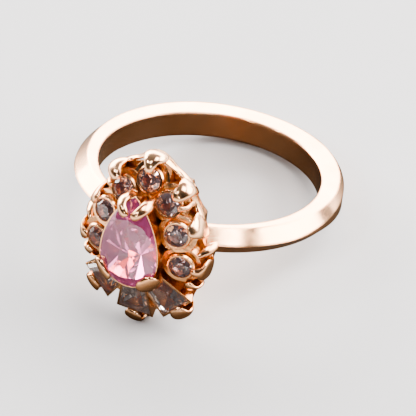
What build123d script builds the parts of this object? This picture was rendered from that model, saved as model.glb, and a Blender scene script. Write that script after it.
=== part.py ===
from build123d import *
from math import acos, atan2, cos, degrees, radians, sin, sqrt
import os

# A dress ring: a pear-cut pink centre stone, an arch of seven small round stones round its point,
# three tapered baguettes fanned below its round end, on a knife-edged shank.
#
# Everything is drawn with the head up: X runs across the finger, Y along the finger, Z out of the
# finger through the head, and the centre of the finger hole is the origin. At the end the whole
# ring is laid down, resting on the back of the shank and on the foot of the head.

# ---- driving dimensions, millimetres ---------------------------------------------------------

BORE_RADIUS = 9.07          # US size 8
HEAD_CLEARANCE = 0.27       # the head keeps this far outside the finger hole

SHANK_THICKNESS = 1.9
SHANK_WIDTH = 2.26
SHANK_END_ANGLE = 24.0      # half of the gap that the head closes
RIDGE_RADIUS = 11.3         # the double cone that cuts the knife edge, at its widest
RIDGE_SLOPE = 0.9          # how fast that cone narrows away from the ridge
RIDGE_SHIFT = 0.7           # its axis lies this far behind the finger hole's axis
SHANK_EDGE_ROUND = 0.12

PEAR_LENGTH = 8.0
PEAR_WIDTH = 5.0
PEAR_BOTTOM_Y = -3.58
PEAR_GIRDLE_Z = 13.42

ROUND_RADIUS = 1.0          # 2 mm brilliants
CUP_RADIUS = 1.2
CUP_LIP = 0.96              # radius of the opening that the stone shows through

BAGUETTE_LENGTH = 3.1
BAGUETTE_OUTER_WIDTH = 2.9
BAGUETTE_INNER_WIDTH = 1.66
SEAT_WALL = 0.19

BASE_TOP_Z = 9.85
BASE_BOTTOM_Z = 7.6
BASE_FLARE = 0.88           # the base's size at its inner side, against its top
HEAD_FOOT_REACH = 8.0       # the base's lowest edge, which the ring rests on when laid down
HEAD_FOOT_WIDTH = 1.5
BEZEL_WALL = 0.1
WEB_RADIUS = 1.62           # the cast web fills this far round every round stone
WEB_DROP = 0.3              # and lies this far under the stone's girdle

GIRDLE = 0.05               # half the thickness of every stone's girdle band

# where each round stone sits: x, y, z of its girdle, then how far it leans outwards
ROUND_SEATS = {
    "top": (0.0, 4.95, 11.1, 18),
    "upper": (2.02, 3.6, 11.4, 15),
    "middle": (3.19, 1.39, 11.8, 13),
    "lower": (3.71, -1.4, 11.55, 13),
}

# where each baguette's outer edge sits: x, y, z, its heading, how far it slopes down outwards
BAGUETTE_SEATS = {
    "centre": (0.0, -6.92, 11.1, -90, 15),
    "side": (3.55, -5.5, 11.05, -45, 15),
}

# the crown wall's crest on the right: x, y, height and thickness, from the middle to the shoulder.
# It stands tall at each claw and dips between them.
CROWN_CREST = (
    (0.0, 6.75, 10.95, 0.80),
    (0.85, 6.5, 10.75, 0.55),
    (1.7, 5.9, 10.3, 0.36),
    (2.4, 5.5, 10.4, 0.40),
    (3.0, 5.0, 10.7, 0.52),
    (3.35, 4.3, 10.5, 0.42),
    (3.65, 3.6, 10.25, 0.36),
    (4.05, 2.95, 10.3, 0.40),
    (4.4, 2.2, 10.55, 0.50),
    (4.55, 1.4, 10.45, 0.50),
    (4.5, 0.75, 10.15, 0.42),
)


# ---- helpers ---------------------------------------------------------------------------------

def seat_plane(x, y, z, heading, lean):
    """A plane for a stone: its X points outwards along the heading and dips by the lean."""
    out = Vector(cos(radians(heading)), sin(radians(heading)), 0)
    up = Vector(0, 0, 1)
    dip = radians(lean)
    return Plane(
        origin=(x, y, z),
        x_dir=out * cos(dip) - up * sin(dip),
        z_dir=out * sin(dip) + up * cos(dip),
    )


def keep_below(solid, point, normal):
    """Grind one flat facet: keep what lies behind the plane through the point."""
    return split(solid, bisect_by=Plane(origin=point, z_dir=normal), keep=Keep.BOTTOM)


def largest(shape):
    """The biggest solid of a shape, which drops the crumbs that a cut can leave."""
    return max(shape.solids(), key=lambda solid: solid.volume)


def touches(one, other):
    """Whether the boxes of two shapes meet."""
    a, b = one.bounding_box(), other.bounding_box()
    return all(
        getattr(a.min, axis) < getattr(b.max, axis) and getattr(b.min, axis) < getattr(a.max, axis)
        for axis in "XYZ"
    )


def prong(place, azimuth, profile, widths, depths):
    """A cast claw: oval sections lofted along a smooth line, rounded off past its last point.

    It leans over the place from the azimuth; the profile gives how far out and how high it runs.
    """
    out = Vector(cos(radians(azimuth)), sin(radians(azimuth)), 0)
    across = out.cross(Vector(0, 0, 1))
    line = Spline(*[Vector(place[0], place[1], z) + out * reach for reach, z in profile])
    sections = []
    for index, (width, depth) in enumerate(zip(widths, depths)):
        along = index / (len(widths) - 1)
        here = Plane(origin=line @ along, x_dir=across, z_dir=line % along)
        sections.append(here * Ellipse(width / 2, depth / 2))
    end = line % 1
    for reach, size in ((0.30, 0.80), (0.42, 0.45)):
        nose = Plane(origin=line @ 1 + end * reach * depths[-1], x_dir=across, z_dir=end)
        sections.append(nose * Ellipse(widths[-1] / 2 * size, depths[-1] / 2 * size))
    return loft(sections)


# ---- shank -----------------------------------------------------------------------------------

def shank():
    """A band with a square back that rises to a knife edge at the shoulders."""
    outside = BORE_RADIUS + SHANK_THICKNESS
    section = Rectangle(SHANK_THICKNESS, SHANK_WIDTH)
    section = fillet(section.vertices(), SHANK_EDGE_ROUND)
    band = revolve(Pos(BORE_RADIUS + SHANK_THICKNESS / 2, 0, 0) * section, axis=Axis.Y)

    half = SHANK_WIDTH
    tip = RIDGE_RADIUS - RIDGE_SLOPE * half
    cone = Polyline((0, half), (tip, half), (RIDGE_RADIUS, 0), (tip, -half), (0, -half), close=True)
    roof = revolve(make_face(cone), axis=Axis.Y)
    band &= Pos(0, 0, -RIDGE_SHIFT) * roof

    reach = outside * 2
    side = reach * sin(radians(SHANK_END_ANGLE))
    rise = reach * cos(radians(SHANK_END_ANGLE))
    gap = make_face(Polyline((0, 0), (side, rise), (-side, rise), close=True))
    band -= extrude(Plane.XZ * gap, amount=outside, both=True)
    return largest(band)


# ---- stones ----------------------------------------------------------------------------------

def circle_rim(radius):
    """For a round stone: the girdle point whose outward normal has a given azimuth."""
    return lambda azimuth: Vector(radius * cos(azimuth), radius * sin(azimuth), 0)


PEAR_ROUND = PEAR_WIDTH / 2                                 # radius of the pear's round end
PEAR_POINT = PEAR_LENGTH - PEAR_ROUND                       # its point, from the round end's centre
PEAR_FLANK = (PEAR_ROUND ** 2 + PEAR_POINT ** 2) / (2 * PEAR_ROUND)     # radius of its long sides
PEAR_FLANK_X = PEAR_FLANK - PEAR_ROUND                      # their centres, across from each side
PEAR_TIP_AZIMUTH = acos(PEAR_FLANK_X / PEAR_FLANK)


def pear_rim(azimuth):
    """The same for the pear: its round end, its two long arcs and its point."""
    across, up = cos(azimuth), sin(azimuth)
    if up <= 0:
        return Vector(PEAR_ROUND * across, PEAR_ROUND * up, 0)
    if abs(across) < cos(PEAR_TIP_AZIMUTH):
        return Vector(0, PEAR_POINT, 0)
    side = 1 if across > 0 else -1
    return Vector(PEAR_FLANK * across - side * PEAR_FLANK_X, PEAR_FLANK * up, 0)


def pear_face(offset):
    """The pear's outline, set off outwards or, when negative, inwards."""
    round_end = PEAR_ROUND + offset
    flank = PEAR_FLANK + offset
    point = sqrt(flank ** 2 - PEAR_FLANK_X ** 2)
    half = acos(PEAR_FLANK_X / flank) / 2
    flank_middle = (flank * cos(half) - PEAR_FLANK_X, flank * sin(half))
    right = ThreePointArc((round_end, 0), flank_middle, (0, point))
    left = ThreePointArc((0, point), (-flank_middle[0], flank_middle[1]), (-round_end, 0))
    bottom = ThreePointArc((-round_end, 0), (0, -round_end), (round_end, 0))
    return make_face([right, left, bottom])


def brilliant(girdle, rim, azimuths, crown, table_inset, pavilion):
    """A brilliant cut on any outline: table, stars, kites and girdle facets, then the pavilion."""
    stone = extrude(girdle, amount=crown) + extrude(girdle, amount=-pavilion)
    azimuths = [radians(angle) for angle in azimuths]
    turns = azimuths[1:] + [azimuths[0] + radians(360)]
    crown_angle = atan2(crown - GIRDLE, table_inset)
    culet = Vector(0, 0, -pavilion)

    def leaning(azimuth, angle):
        return Vector(sin(angle) * cos(azimuth), sin(angle) * sin(azimuth), cos(angle))

    def table_corner(azimuth):
        inwards = Vector(cos(azimuth), sin(azimuth), 0) * table_inset
        return rim(azimuth) - inwards + Vector(0, 0, crown)

    for azimuth, following in zip(azimuths, turns):
        middle = (azimuth + following) / 2
        quarter = (following - azimuth) / 4
        top = Vector(0, 0, GIRDLE)
        stone = keep_below(stone, rim(azimuth) + top, leaning(azimuth, crown_angle))
        for turn in (middle - quarter, middle + quarter):
            stone = keep_below(stone, rim(turn) + top, leaning(turn, crown_angle * 1.22))
        here, there = table_corner(azimuth), table_corner(following)
        edge = (there - here).normalized()
        flat_normal = edge.cross(Vector(0, 0, 1))
        star = flat_normal * sin(crown_angle * 0.6) + Vector(0, 0, 1) * cos(crown_angle * 0.6)
        stone = keep_below(stone, here, star)

        main = rim(azimuth) - top
        along = Vector(-sin(azimuth), cos(azimuth), 0)
        stone = keep_below(stone, main, (main - culet).cross(along) * -1)
        for turn in (middle - quarter, middle + quarter):
            foot = rim(turn) - top
            along = Vector(-sin(turn), cos(turn), 0)
            deeper = culet * 1.07
            stone = keep_below(stone, foot, (foot - deeper).cross(along) * -1)
    return largest(stone)


def round_stone():
    azimuths = [22.5 + 45 * index for index in range(8)]
    return brilliant(
        Circle(ROUND_RADIUS), circle_rim(ROUND_RADIUS), azimuths,
        crown=0.36 * ROUND_RADIUS, table_inset=0.44 * ROUND_RADIUS, pavilion=0.88 * ROUND_RADIUS,
    )


def pear_stone():
    azimuths = [-90, -60, -30, 0, 20, 38, 90, 142, 160, 180, 210, 240]
    return brilliant(
        pear_face(0), pear_rim, azimuths,
        crown=0.92, table_inset=1.12, pavilion=2.45,
    )


def trapezoid(offset):
    """A baguette's outline, its outer edge on X = 0 and its taper inwards along -X."""
    outer = BAGUETTE_OUTER_WIDTH / 2 + offset
    inner = BAGUETTE_INNER_WIDTH / 2 + offset
    near, far = offset, -BAGUETTE_LENGTH - offset
    return make_face(Polyline((near, -outer), (near, outer), (far, inner), (far, -inner), close=True))


def baguette_stone():
    """A step cut: two steps up to the table, two down to the keel."""
    crown, pavilion = 0.5, 1.25
    stone = extrude(trapezoid(0), amount=crown) + extrude(trapezoid(0), amount=-pavilion)
    taper = atan2((BAGUETTE_OUTER_WIDTH - BAGUETTE_INNER_WIDTH) / 2, BAGUETTE_LENGTH)
    half = BAGUETTE_OUTER_WIDTH / 2
    edges = (
        (Vector(0, 0, 0), 0.0),
        (Vector(-BAGUETTE_LENGTH, 0, 0), radians(180)),
        (Vector(0, half, 0), radians(90) + taper),
        (Vector(0, -half, 0), -radians(90) - taper),
    )
    for point, azimuth in edges:
        out = Vector(cos(azimuth), sin(azimuth), 0)
        for inset, height, angle in ((0, GIRDLE, 50), (0.24, 0.33, 30)):
            step = out * sin(radians(angle)) + Vector(0, 0, cos(radians(angle)))
            stone = keep_below(stone, point - out * inset + Vector(0, 0, height), step)
        for inset, depth, angle in ((0, GIRDLE, 56), (0.38, 0.60, 38)):
            step = out * sin(radians(angle)) - Vector(0, 0, cos(radians(angle)))
            stone = keep_below(stone, point - out * inset - Vector(0, 0, depth), step)
    return largest(stone)


# ---- settings --------------------------------------------------------------------------------

def round_cup(depth):
    """A turned collet with an open back, drawn round its stone's axis."""
    lip = 0.16
    profile = Polyline(
        (CUP_LIP, lip), (CUP_RADIUS - 0.1, lip), (CUP_RADIUS, 0.02), (CUP_RADIUS * 0.92, -0.75),
        (CUP_RADIUS * 0.72, -depth), (0.42, -depth), (0.42, -0.6), (CUP_LIP, -GIRDLE), close=True,
    )
    return revolve(Plane.XZ * make_face(profile), axis=Axis.Z)


def pear_basket():
    """The pear's bezel: a thin rim that tapers in below the girdle like a funnel."""
    top, foot = 0.04, BASE_TOP_Z - 0.3 - PEAR_GIRDLE_Z
    outer = loft(
        [Pos(0, 0, top) * pear_face(BEZEL_WALL), Pos(0, 0, foot) * pear_face(-1.15)], ruled=True
    )
    inner = loft(
        [Pos(0, 0, top + 0.01) * pear_face(-0.06), Pos(0, 0, foot - 0.01) * pear_face(-1.5)],
        ruled=True,
    )
    return outer - inner


def baguette_seat():
    """A tapered channel round a baguette, open below and clear of the crown above."""
    top, foot = 0.06, -2.2
    outer = loft(
        [Pos(0, 0, top) * trapezoid(SEAT_WALL), Pos(0, 0, foot) * trapezoid(-0.22)], ruled=True
    )
    inner = loft(
        [Pos(0, 0, top + 0.01) * trapezoid(-0.05), Pos(0, 0, foot - 0.01) * trapezoid(-0.5)],
        ruled=True,
    )
    return outer - inner


def head_outline():
    """The head's plan: it reaches out at every claw and dips between them."""
    corners = [(0, 6.85), (2.95, 5.3), (4.4, 2.55), (4.5, 0.7), (5.4, -0.75), (5.25, -2.1),
               (4.75, -3.0), (4.55, -4.2), (4.0, -6.4), (1.9, -6.6),
               (HEAD_FOOT_WIDTH / 2, -HEAD_FOOT_REACH)]
    dips = {0: 0.42, 1: 0.22, 4: -0.2, 9: 0.15}             # a negative one bulges
    right = []
    for index, (start, end) in enumerate(zip(corners, corners[1:])):
        dip = dips.get(index, 0.05)
        start, end = Vector(*start), Vector(*end)
        inwards = (end - start).normalized().cross(Vector(0, 0, 1))
        right.append(ThreePointArc(start, (start + end) / 2 + inwards * dip, end))
    left = [mirror(edge, Plane.YZ) for edge in right]
    last = corners[-1]
    return make_face(right + [Line(last, (-last[0], last[1]))] + left)


def gallery_base():
    """The saddle that carries every setting, flared towards the top, open under the pear."""
    top = Pos(0, 0, BASE_TOP_Z) * head_outline()
    foot = Pos(0, 0, BASE_BOTTOM_Z) * scale(head_outline(), by=BASE_FLARE)
    light_hole = Pos(0, -0.2, BASE_BOTTOM_Z) * extrude(Ellipse(1.0, 2.6), amount=5)
    return loft([foot, top], ruled=True) - light_hole


def crown_rim():
    """The scalloped wall outside the round stones: ovals lofted round the head's upper half."""
    foot_z = BASE_TOP_Z - 0.35
    left = [(-x, y, z, wall) for x, y, z, wall in CROWN_CREST[:0:-1]]
    stations = left + list(CROWN_CREST)
    line = Spline(*[(x, y, 0) for x, y, _, _ in stations])
    sections = []
    for x, y, z, wall in stations:
        along = line.param_at_point((x, y, 0))
        here = Plane(origin=(x, y, (foot_z + z) / 2), x_dir=(0, 0, 1), z_dir=line % along)
        sections.append(here * Ellipse((z - foot_z) / 2, wall / 2))
    return loft(sections)


def arch_web():
    """The cast web between the round stones' cups: one step down from their lips."""
    web = None
    for x, y, z, lean in ROUND_SEATS.values():
        place = seat_plane(x, y, z, degrees(atan2(y, x)), lean).location
        height = z - BASE_TOP_Z + 0.2
        disc = place * Pos(0, 0, -WEB_DROP - height / 2) * Cylinder(WEB_RADIUS, height)
        for one in (disc, mirror(disc, Plane.YZ)) if x else (disc,):
            web = one if web is None else web + one
    return web & Pos(0, 0, BASE_TOP_Z + 5) * Box(20, 20, 10)


# Each claw on the right-hand side: the point that it leans over, the azimuth that it stands at,
# how far out and how high it runs from foot to tip, and its widths and depths on the way.
CLAWS = {
    "pear_claw_upper": (
        (-0.2, 2.35), 50, ((1.78, 11.6), (1.98, 12.9), (1.7, 13.8), (0.95, 14.15)),
        (0.6, 0.85, 0.95, 0.74), (0.6, 0.62, 0.62, 0.54)),
    "pear_claw_lower": (
        (0, PEAR_BOTTOM_Y + PEAR_WIDTH / 2), -38, ((2.35, 11.6), (2.85, 12.9), (2.7, 13.7), (2.15, 13.95)),
        (0.7, 1.3, 1.9, 1.7), (0.6, 0.7, 0.62, 0.46)),
    "upper_claw": (
        ROUND_SEATS["upper"][:2], 54, ((1.5, 9.6), (1.85, 10.4), (1.8, 11.15), (1.12, 11.65)),
        (1.8, 1.7, 1.45, 1.0), (0.6, 0.74, 0.74, 0.58)),
    "small_claw": (
        ROUND_SEATS["upper"][:2], 3, ((1.35, 9.8), (1.5, 10.6), (1.42, 11.2), (1.05, 11.6)),
        (0.7, 0.56, 0.5, 0.42), (0.5, 0.45, 0.42, 0.36)),
    "shoulder_claw": (
        ROUND_SEATS["middle"][:2], 28, ((1.25, 9.6), (1.5, 10.3), (1.5, 11.0), (1.18, 11.65)),
        (2.3, 2.2, 1.8, 1.1), (0.55, 0.55, 0.55, 0.46)),
    "shoulder_leaf": (
        ROUND_SEATS["lower"][:2], 42, ((2.2, 9.3), (2.3, 9.9), (2.0, 10.45), (1.5, 10.85)),
        (0.8, 0.85, 0.7, 0.45), (0.55, 0.5, 0.45, 0.36)),
    "lower_claw": (
        ROUND_SEATS["lower"][:2], -8, ((1.45, 9.5), (1.75, 10.2), (1.7, 10.95), (1.12, 11.5)),
        (2.0, 2.0, 1.5, 0.7), (0.6, 0.5, 0.5, 0.4)),
    "wedge_claw": (
        ROUND_SEATS["lower"][:2], -64, ((1.5, 9.5), (2.1, 10.1), (2.15, 10.8), (1.6, 11.3)),
        (1.1, 1.4, 1.3, 0.66), (0.7, 0.55, 0.48, 0.4)),
}
TOP_CLAW = (
    ROUND_SEATS["top"][:2], 90, ((1.35, 9.6), (1.8, 10.4), (1.75, 11.1), (1.02, 11.5)),
    (2.4, 2.0, 1.5, 0.8), (0.8, 0.95, 0.9, 0.6))

# the tabs that fold over the baguettes' outer edges, drawn in the same way
TABS = {
    "centre": (((0.1, 9.6), (0.8, 10.3), (0.85, 10.95), (0.12, 11.4)),
               (1.3, 1.5, 1.5, 1.2), (0.5, 0.55, 0.5, 0.35)),
    "side": (((0.1, 9.6), (0.75, 10.2), (0.8, 10.85), (0.12, 11.35)),
             (1.4, 1.6, 1.6, 1.2), (0.5, 0.55, 0.5, 0.35)),
}


# ---- assembly --------------------------------------------------------------------------------

def side_name(name, x):
    """A piece away from the middle is drawn on the right and mirrored later."""
    return name if x == 0 else name + "_right"


stones = {}
pieces = {}

pear_place = Pos(0, PEAR_BOTTOM_Y + PEAR_ROUND, PEAR_GIRDLE_Z)
stones["pear_stone"] = pear_place * pear_stone()
pieces["pear_basket"] = pear_place * pear_basket()

one_round = round_stone()
for seat, (x, y, z, lean) in ROUND_SEATS.items():
    place = seat_plane(x, y, z, degrees(atan2(y, x)), lean).location
    stones[side_name("round_stone_" + seat, x)] = place * one_round
    pieces[side_name("round_cup_" + seat, x)] = place * round_cup(z - BASE_TOP_Z + 0.35)

one_baguette = baguette_stone()
for seat, (x, y, z, heading, slope) in BAGUETTE_SEATS.items():
    place = seat_plane(x, y, z, heading, slope).location
    stones[side_name("baguette_stone_" + seat, x)] = place * one_baguette
    pieces[side_name("baguette_seat_" + seat, x)] = place * baguette_seat()

pieces["crown_rim"] = crown_rim()
for claw, form in CLAWS.items():
    pieces[claw + "_right"] = prong(*form)
pieces["top_claw"] = prong(*TOP_CLAW)
for tab, form in TABS.items():
    x, y, _, heading, _ = BAGUETTE_SEATS[tab]
    pieces[side_name("end_tab_" + tab, x)] = prong((x, y), heading, *form)

pieces["arch_web"] = arch_web()
pieces["gallery_base"] = gallery_base()

# each setting is relieved for the stones and for the settings before it, so that nothing overlaps
finger = Rot(90, 0, 0) * Cylinder(BORE_RADIUS + HEAD_CLEARANCE, 40)
finished = {"shank": shank()}


def add(name, piece):
    finished[name] = piece
    if name.endswith("_right"):
        finished[name.replace("_right", "_left")] = mirror(piece, Plane.YZ)


for name, stone in stones.items():
    add(name, stone)
for name, piece in pieces.items():
    piece = piece - finger
    for other in [other for other in finished.values() if touches(piece, other)]:
        piece = piece - other
    add(name, largest(piece))

# ---- laid down -------------------------------------------------------------------------------

back_z = -(BORE_RADIUS + SHANK_THICKNESS)
tilt = degrees(atan2(HEAD_FOOT_REACH - SHANK_WIDTH / 2, BASE_TOP_Z - back_z))

os.makedirs("parts", exist_ok=True)
for name, piece in finished.items():
    export_step(Rot(90 - tilt, 0, 0) * piece, "parts/" + name + ".step")
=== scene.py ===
from math import cos, radians, sin

import bmesh
import bpy
from mathutils import Matrix, Vector


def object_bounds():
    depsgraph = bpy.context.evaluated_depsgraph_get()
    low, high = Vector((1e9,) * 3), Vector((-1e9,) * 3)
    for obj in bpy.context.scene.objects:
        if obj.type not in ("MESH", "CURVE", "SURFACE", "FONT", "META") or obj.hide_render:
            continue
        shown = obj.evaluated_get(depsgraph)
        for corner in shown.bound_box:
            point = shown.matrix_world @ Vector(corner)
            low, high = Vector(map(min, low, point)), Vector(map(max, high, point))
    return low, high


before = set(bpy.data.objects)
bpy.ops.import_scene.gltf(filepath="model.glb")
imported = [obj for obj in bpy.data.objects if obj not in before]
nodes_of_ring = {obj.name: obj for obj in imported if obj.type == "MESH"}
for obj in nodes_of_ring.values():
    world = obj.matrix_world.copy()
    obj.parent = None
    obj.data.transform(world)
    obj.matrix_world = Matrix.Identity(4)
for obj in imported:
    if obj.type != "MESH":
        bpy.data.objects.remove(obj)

cad_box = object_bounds()
MM = 0.001


# ---- shank ------------------------------------------------------------------------------------
# The band that goes round the finger: cast in a copper-rich base metal, polished to a knife edge
# and plated in rose gold. Wear shows as hairline scuffs and a slow drift in the plating's tone.

# every metal has three tones: freshly plated, worn, and a darker one painted into its recesses as
# shade
SHANK_BRIGHT = (0.94, 0.57, 0.36, 1)
SHANK_WORN = (0.88, 0.49, 0.28, 1)
SHANK_PAINTED_SHADE = (0.80, 0.42, 0.20, 1)
SHANK_EDGE = 0.28 * MM      # how far the polishing wheel has rounded its edges
HAIRLINE_DEPTH = 0.01 * MM
HAIRLINE_STRENGTH = 0.12
HAZE_ROUGHNESS = 0.07       # what a hazy patch adds to the roughness

# noise scales, in cycles per metre
DRIFT_SCALE = 220
SCUFF_SCALES = (1500, 1300)
HAZE_SCALE = 900
RIPPLE_SCALE = 950

RECESS_REACH = 0.9 * MM     # how near other metal must be to shade a recess
RECESS_STARTS = 0.75        # how open to the sky a point is where a recess starts to show
RECESS_FULL = 0.25


def new_group(name, inputs, outputs):
    """An empty node group with named value inputs and outputs, and its two end nodes."""
    group = bpy.data.node_groups.new(name, "ShaderNodeTree")
    for label, value in inputs.items():
        socket = group.interface.new_socket(label, in_out="INPUT", socket_type="NodeSocketFloat")
        socket.default_value = value
    for label in outputs:
        group.interface.new_socket(label, in_out="OUTPUT", socket_type="NodeSocketFloat")
    start = group.nodes.new("NodeGroupInput")
    end = group.nodes.new("NodeGroupOutput")
    return group, start, end


def noise(tree, scale, detail, stretch=(1, 1, 1), turn=(0, 0, 0)):
    """A noise texture on Object coordinates, stretched and turned: gives its value socket."""
    place = tree.nodes.new("ShaderNodeTexCoord")
    mapping = tree.nodes.new("ShaderNodeMapping")
    mapping.inputs["Scale"].default_value = stretch
    mapping.inputs["Rotation"].default_value = turn
    texture = tree.nodes.new("ShaderNodeTexNoise")
    texture.inputs["Scale"].default_value = scale
    texture.inputs["Detail"].default_value = detail
    tree.links.new(place.outputs["Object"], mapping.inputs["Vector"])
    tree.links.new(mapping.outputs["Vector"], texture.inputs["Vector"])
    return texture.outputs["Fac"]


def product(tree, first, second):
    """Two values multiplied, held between 0 and 1."""
    node = tree.nodes.new("ShaderNodeMath")
    node.operation = "MULTIPLY"
    node.use_clamp = True
    tree.links.new(first, node.inputs[0])
    tree.links.new(second, node.inputs[1])
    return node.outputs["Value"]


def remap(tree, value, low, high, start=0.0, end=1.0):
    """The value stretched so that low to high becomes start to end, each a socket or a number."""
    node = tree.nodes.new("ShaderNodeMapRange")
    tree.links.new(value, node.inputs["Value"])
    ends = {"From Min": low, "From Max": high, "To Min": start, "To Max": end}
    for label, number in ends.items():
        if isinstance(number, bpy.types.NodeSocket):
            tree.links.new(number, node.inputs[label])
        else:
            node.inputs[label].default_value = number
    return node.outputs["Result"]


def wear_group():
    """Polished plating: its drifting tone, polishing hairlines, haze and hand-finished ripples."""
    group, start, end = new_group(
        "plating_wear", {"Hairlines": 1.0}, ("Drift", "Hairlines", "Haze", "Ripple")
    )
    drift = remap(group, noise(group, DRIFT_SCALE, 2), 0.35, 0.65)
    along = noise(group, SCUFF_SCALES[0], 2, stretch=(1, 1, 14), turn=(0.3, 0.2, 0))
    across = noise(group, SCUFF_SCALES[1], 2, stretch=(12, 1, 1), turn=(0, 0.5, 0.7))
    lines = product(group, remap(group, along, 0.45, 0.75), remap(group, across, 0.3, 0.7))
    lines = product(group, lines, start.outputs["Hairlines"])
    haze = remap(group, noise(group, HAZE_SCALE, 4), 0.4, 0.7)
    ripple = noise(group, RIPPLE_SCALE, 1.5)
    values = {"Drift": drift, "Hairlines": lines, "Haze": haze, "Ripple": ripple}
    for label, value in values.items():
        group.links.new(value, end.inputs[label])
    return group


def shade_and_grain_group():
    """How far into a recess a point lies, for the painted shade and rough casting there, and the
    grain of the mould.
    """
    group, start, end = new_group(
        "recess_shade_and_grain", {"Reach": RECESS_REACH, "Grain Scale": 9000.0}, ("Recess", "Grain")
    )
    occlusion = group.nodes.new("ShaderNodeAmbientOcclusion")
    occlusion.samples = 8
    group.links.new(start.outputs["Reach"], occlusion.inputs["Distance"])
    recess = remap(group, occlusion.outputs["AO"], RECESS_STARTS, RECESS_FULL)
    coordinates = group.nodes.new("ShaderNodeTexCoord")
    grain = group.nodes.new("ShaderNodeTexNoise")
    grain.inputs["Detail"].default_value = 4
    group.links.new(coordinates.outputs["Object"], grain.inputs["Vector"])
    group.links.new(start.outputs["Grain Scale"], grain.inputs["Scale"])
    group.links.new(recess, end.inputs["Recess"])
    group.links.new(grain.outputs["Fac"], end.inputs["Grain"])
    return group


plating_wear = wear_group()
recess_shade_and_grain = shade_and_grain_group()


def mix_colour(tree, factor, first, second):
    """A colour between two: each is a socket or a plain colour."""
    node = tree.nodes.new("ShaderNodeMix")
    node.data_type = "RGBA"
    tree.links.new(factor, node.inputs["Factor"])
    for socket, value in ((node.inputs[6], first), (node.inputs[7], second)):
        if isinstance(value, bpy.types.NodeSocket):
            tree.links.new(value, socket)
        else:
            socket.default_value = value
    return node.outputs[2]


def relief(tree, height, depth, normal, strength=1.0):
    """A Bump node over another normal: gives the new normal."""
    bump = tree.nodes.new("ShaderNodeBump")
    bump.inputs["Strength"].default_value = strength
    bump.inputs["Distance"].default_value = depth
    tree.links.new(height, bump.inputs["Height"])
    tree.links.new(normal, bump.inputs["Normal"])
    return bump.outputs["Normal"]


def plated_metal(
    name, bright, worn, painted_shade, gloss, grain, grain_height, recess_rough, edge, ripple, lines=1.0
):
    """Rose-gold plating: polished where the wheel reaches, rough and grainy in the recesses, and
    darkened there with painted shade.

    The grain is a noise scale; its height, the edge radius and the ripple are in metres.
    """
    material = bpy.data.materials.new(name)
    material.use_nodes = True
    tree = material.node_tree
    surface = tree.nodes["Principled BSDF"]
    surface.inputs["Metallic"].default_value = 1
    wear = tree.nodes.new("ShaderNodeGroup")
    wear.node_tree = plating_wear
    wear.inputs["Hairlines"].default_value = lines
    recess_and_grain = tree.nodes.new("ShaderNodeGroup")
    recess_and_grain.node_tree = recess_shade_and_grain
    recess_and_grain.inputs["Grain Scale"].default_value = grain
    recess = recess_and_grain.outputs["Recess"]

    tone = mix_colour(tree, wear.outputs["Drift"], bright, worn)
    # painted shade: recesses are mixed towards the darker tone
    tree.links.new(mix_colour(tree, recess, tone, painted_shade), surface.inputs["Base Color"])

    hazed = remap(tree, wear.outputs["Haze"], 0, 1, gloss, gloss + HAZE_ROUGHNESS)
    rough = remap(tree, recess, 0, 1, hazed, recess_rough)
    tree.links.new(rough, surface.inputs["Roughness"])

    rounded = tree.nodes.new("ShaderNodeBevel")
    rounded.samples = 4
    rounded.inputs["Radius"].default_value = edge
    normal = relief(tree, wear.outputs["Ripple"], ripple, rounded.outputs["Normal"])
    normal = relief(tree, wear.outputs["Hairlines"], HAIRLINE_DEPTH, normal, HAIRLINE_STRENGTH)
    grains = product(tree, recess_and_grain.outputs["Grain"], recess)
    normal = relief(tree, grains, grain_height, normal)
    tree.links.new(normal, surface.inputs["Normal"])
    return material


def finish_in(material, *names):
    """Gives CAD nodes a material in place of their plain one."""
    for name in names:
        slots = nodes_of_ring[name].data.materials
        slots.clear()
        slots.append(material)


finish_in(
    plated_metal(
        "polished_shank", SHANK_BRIGHT, SHANK_WORN, SHANK_PAINTED_SHADE,
        gloss=0.13, grain=5000, grain_height=0.004 * MM, recess_rough=0.2, edge=SHANK_EDGE,
        ripple=0.002 * MM,
    ),
    "shank",
)


# ---- gallery base, arch web and crown rim -----------------------------------------------------
# The saddle that joins the head to the shank, the cast web between the cups and the scalloped wall
# outside them. They are cast, plated and polished only where a wheel reaches, so their pockets
# keep the grain of the mould; painted shade gives the pockets a darker orange tone.

GALLERY_BRIGHT = (0.91, 0.54, 0.31, 1)
GALLERY_WORN = (0.82, 0.42, 0.20, 1)
GALLERY_PAINTED_SHADE = (0.58, 0.25, 0.07, 1)

finish_in(
    plated_metal(
        "cast_gallery", GALLERY_BRIGHT, GALLERY_WORN, GALLERY_PAINTED_SHADE,
        gloss=0.16, grain=4500, grain_height=0.12 * MM, recess_rough=0.38, edge=0.06 * MM,
        ripple=0.06 * MM,
    ),
    "gallery_base", "arch_web", "crown_rim",
)


# ---- cups, bezel and channels -----------------------------------------------------------------
# Turned cups for the round stones, the pear's thin bezel and the baguettes' channels: bright on
# their lips, satin inside, and darkened inside with painted shade.

SEAT_BRIGHT = (0.91, 0.54, 0.32, 1)
SEAT_WORN = (0.83, 0.43, 0.21, 1)
SEAT_PAINTED_SHADE = (0.48, 0.20, 0.07, 1)

SEATS = [name for name in nodes_of_ring if name.startswith(("round_cup", "baguette_seat"))]
finish_in(
    plated_metal(
        "satin_seats", SEAT_BRIGHT, SEAT_WORN, SEAT_PAINTED_SHADE,
        gloss=0.16, grain=8000, grain_height=0.06 * MM, recess_rough=0.34, edge=0.05 * MM,
        ripple=0.03 * MM,
    ),
    "pear_basket", *SEATS,
)


# ---- claws and tabs ---------------------------------------------------------------------------
# Each claw and tab is a cast prong bent over a stone's edge and burnished round, so it is the
# brightest metal of the head, with small tool marks.

CLAW_BRIGHT = (0.93, 0.57, 0.35, 1)
CLAW_WORN = (0.86, 0.46, 0.24, 1)
# painted shade for the claws' recesses
CLAW_PAINTED_SHADE = (0.60, 0.26, 0.08, 1)

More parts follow.
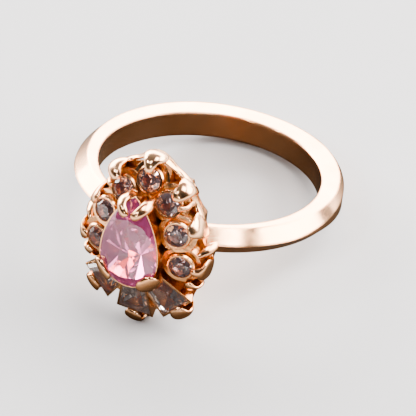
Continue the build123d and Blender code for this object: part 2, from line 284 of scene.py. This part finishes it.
CLAWS = [
    name for name in nodes_of_ring
    if ("claw" in name or name.startswith(("end_tab", "shoulder_leaf")))
]
finish_in(
    plated_metal(
        "burnished_claws", CLAW_BRIGHT, CLAW_WORN, CLAW_PAINTED_SHADE,
        gloss=0.17, grain=5000, grain_height=0.07 * MM, recess_rough=0.32, edge=0.10 * MM,
        ripple=0.05 * MM, lines=1.6,
    ),
    *CLAWS,
)


# ---- stones -----------------------------------------------------------------------------------
# Cut paste: a pink pear brilliant, seven clear round brilliants and three clear step-cut
# baguettes. The glass is faintly zoned in colour, with a film of handling on its facets, and has a
# faint painted glow, though it is no lamp.

ZONE_SCALE = 420
FILM_SCALE = 2600
FILM_ROUGHNESS = 0.035


def cut_stone(name, light, dark, index, painted_glow):
    """Clear faceted glass, its tint drifting a little between two colours, with a faint painted
    glow of the lighter tint.
    """
    material = bpy.data.materials.new(name)
    material.use_nodes = True
    tree = material.node_tree
    surface = tree.nodes["Principled BSDF"]
    surface.inputs["Transmission Weight"].default_value = 1
    surface.inputs["IOR"].default_value = index
    # painted glow: the glass gives off a little light in its lighter tint
    surface.inputs["Emission Color"].default_value = light
    surface.inputs["Emission Strength"].default_value = painted_glow
    zoned = remap(tree, noise(tree, ZONE_SCALE, 2), 0.35, 0.65)
    tree.links.new(mix_colour(tree, zoned, light, dark), surface.inputs["Base Color"])
    film = remap(tree, noise(tree, FILM_SCALE, 3), 0.45, 0.75, 0.0, FILM_ROUGHNESS)
    tree.links.new(film, surface.inputs["Roughness"])
    return material


ROUNDS = [name for name in nodes_of_ring if name.startswith("round_stone")]
BAGUETTES = [name for name in nodes_of_ring if name.startswith("baguette_stone")]

# each glass: the nodes cut from it, its two tints, its refractive index and the strength of its
# painted glow
PASTES = {
    "pink_paste": (["pear_stone"], (1.0, 0.34, 0.60, 1), (0.86, 0.16, 0.42, 1), 1.85, 0.055),
    "clear_paste": (ROUNDS, (1.0, 0.76, 0.78, 1), (0.84, 0.58, 0.60, 1), 1.8, 0.02),
    "step_paste": (BAGUETTES, (0.98, 0.86, 0.84, 1), (0.88, 0.74, 0.72, 1), 1.75, 0.02),
}
for paste, (cut_from_it, light, dark, index, painted_glow) in PASTES.items():
    finish_in(cut_stone(paste, light, dark, index, painted_glow), *cut_from_it)


# ---- stage ------------------------------------------------------------------------------------
# A pale matt paper sheet under the ring, evenly pale to the camera. In reflections and bounced
# light its colour is painted: lighter than it looks, and dark close to the ring as painted shade,
# which gives the polished metal its contrast.

FLOOR_HALF = 0.8
PAPER_SEEN = (0.50, 0.50, 0.51, 1)
# painted reflection: in reflections and bounced light the paper is painted lighter far from the
# ring and dark close to it as painted shade
PAPER_PAINTED_REFLECTION = (0.85, 0.83, 0.81, 1)
NEAR_PAINTED_SHADE = (0.035, 0.027, 0.018, 1)
PAINTED_SHADE_EDGE = (0.015, 0.062)      # from the origin, where its reflection starts and ends fading

sheet = bmesh.new()
bmesh.ops.create_grid(sheet, x_segments=1, y_segments=1, size=FLOOR_HALF)
bmesh.ops.translate(sheet, verts=sheet.verts, vec=(0, 0, cad_box[0][2]))
floor_mesh = bpy.data.meshes.new("floor")
sheet.to_mesh(floor_mesh)
sheet.free()
floor = bpy.data.objects.new("floor", floor_mesh)
bpy.context.scene.collection.objects.link(floor)
paper = bpy.data.materials.new("pale_paper")
paper.use_nodes = True
paper_surface = paper.node_tree.nodes["Principled BSDF"]
seen = paper.node_tree.nodes.new("ShaderNodeLightPath").outputs["Is Camera Ray"]
spot = paper.node_tree.nodes.new("ShaderNodeTexCoord").outputs["Object"]
distance = paper.node_tree.nodes.new("ShaderNodeVectorMath")
distance.operation = "LENGTH"
paper.node_tree.links.new(spot, distance.inputs[0])
# painted reflection and shade: rays other than the camera's see the paper's painted colours by
# distance from the ring
painted_reflection = mix_colour(
    paper.node_tree, remap(paper.node_tree, distance.outputs["Value"], *PAINTED_SHADE_EDGE),
    NEAR_PAINTED_SHADE, PAPER_PAINTED_REFLECTION,
)
shown = mix_colour(paper.node_tree, seen, painted_reflection, PAPER_SEEN)
paper.node_tree.links.new(shown, paper_surface.inputs["Base Color"])
paper_surface.inputs["Roughness"].default_value = 0.75
paper_surface.inputs["Specular IOR Level"].default_value = 0.2
floor_mesh.materials.append(paper)


# ---- light ------------------------------------------------------------------------------------
# Wide softboxes low behind the ring and on its right light the band's upper faces and leave its
# inside dark. Smaller ones overhead, left and in front put highlights on the claws, and two tiny
# ones sparkle in the facets.

# each lamp: its size, its power in watts, where it stands and its colour
SOFTBOXES = {
    "back_softbox": ((0.60, 0.26), 5.3, (-0.10, 0.36, 0.16), (1.0, 0.97, 0.95)),
    "right_softbox": ((0.40, 0.30), 4.4, (0.32, 0.20, 0.22), (1.0, 0.96, 0.92)),
    "overhead_softbox": ((0.20, 0.16), 1.3, (0.15, 0.02, 0.37), (1.0, 0.97, 0.94)),
    "left_softbox": ((0.30, 0.24), 3.0, (-0.36, 0.12, 0.12), (1.0, 0.97, 0.95)),
    "front_softbox": ((0.04, 0.04), 0.35, (-0.06, -0.24, 0.30), (1, 1, 1)),
    "left_sparkle": ((0.02, 0.02), 0.25, (-0.22, -0.18, 0.22), (1, 1, 1)),
    "low_sparkle": ((0.02, 0.02), 0.2, (0.06, -0.34, 0.12), (1, 1, 1)),
}
SKY_COLOUR = (1.0, 0.98, 0.97, 1)
SKY_FRONT = (-0.5, 0.04)        # how far back a direction points, and the sky's strength there
SKY_BACK = (0.9, 0.60)

for name, (size, power, place, colour) in SOFTBOXES.items():
    lamp = bpy.data.lights.new(name, "AREA")
    lamp.shape = "RECTANGLE"
    lamp.size, lamp.size_y = size
    lamp.energy = power
    lamp.color = colour
    box = bpy.data.objects.new(name, lamp)
    bpy.context.scene.collection.objects.link(box)
    box.location = place
    box.rotation_euler = Vector(place).to_track_quat("Z", "Y").to_euler()
    box.visible_camera = False

bpy.context.scene.view_settings.view_transform = "AgX"
bpy.context.scene.view_settings.look = "AgX - Medium High Contrast"

world = bpy.data.worlds.new("studio")
bpy.context.scene.world = world
world.use_nodes = True
sky = world.node_tree
direction = sky.nodes.new("ShaderNodeTexCoord")
axes = sky.nodes.new("ShaderNodeSeparateXYZ")
sky.links.new(direction.outputs["Generated"], axes.inputs["Vector"])
backdrop = sky.nodes["Background"]
backdrop.inputs["Color"].default_value = SKY_COLOUR
strength = remap(sky, axes.outputs["Y"], SKY_FRONT[0], SKY_BACK[0], SKY_FRONT[1], SKY_BACK[1])
sky.links.new(strength, backdrop.inputs["Strength"])


# ---- camera -----------------------------------------------------------------------------------
# A long lens, looking down on the head from its right.

CAMERA_AZIMUTH = radians(30.6)
CAMERA_ELEVATION = radians(45.6)
CAMERA_ROLL = radians(-3.4)
CAMERA_REACH = 0.3333
CAMERA_LENS = 356
CAMERA_NEAR = 0.01
CAMERA_AIM = Vector((-0.00005, -0.00237, 0))        # in the picture's own right and up

away = Vector((
    sin(CAMERA_AZIMUTH) * cos(CAMERA_ELEVATION),
    -cos(CAMERA_AZIMUTH) * cos(CAMERA_ELEVATION),
    sin(CAMERA_ELEVATION),
))
roll = Matrix.Rotation(CAMERA_ROLL, 3, "Z")
camera = bpy.data.objects.new("camera", bpy.data.cameras.new("camera"))
bpy.context.scene.collection.objects.link(camera)
camera.data.lens = CAMERA_LENS
camera.data.clip_start = CAMERA_NEAR
camera.location = away * CAMERA_REACH
target = away.to_track_quat("Z", "Y").to_matrix() @ roll @ CAMERA_AIM
sight = (camera.location - target).to_track_quat("Z", "Y").to_matrix() @ roll
camera.rotation_euler = sight.to_euler()
bpy.context.scene.camera = camera
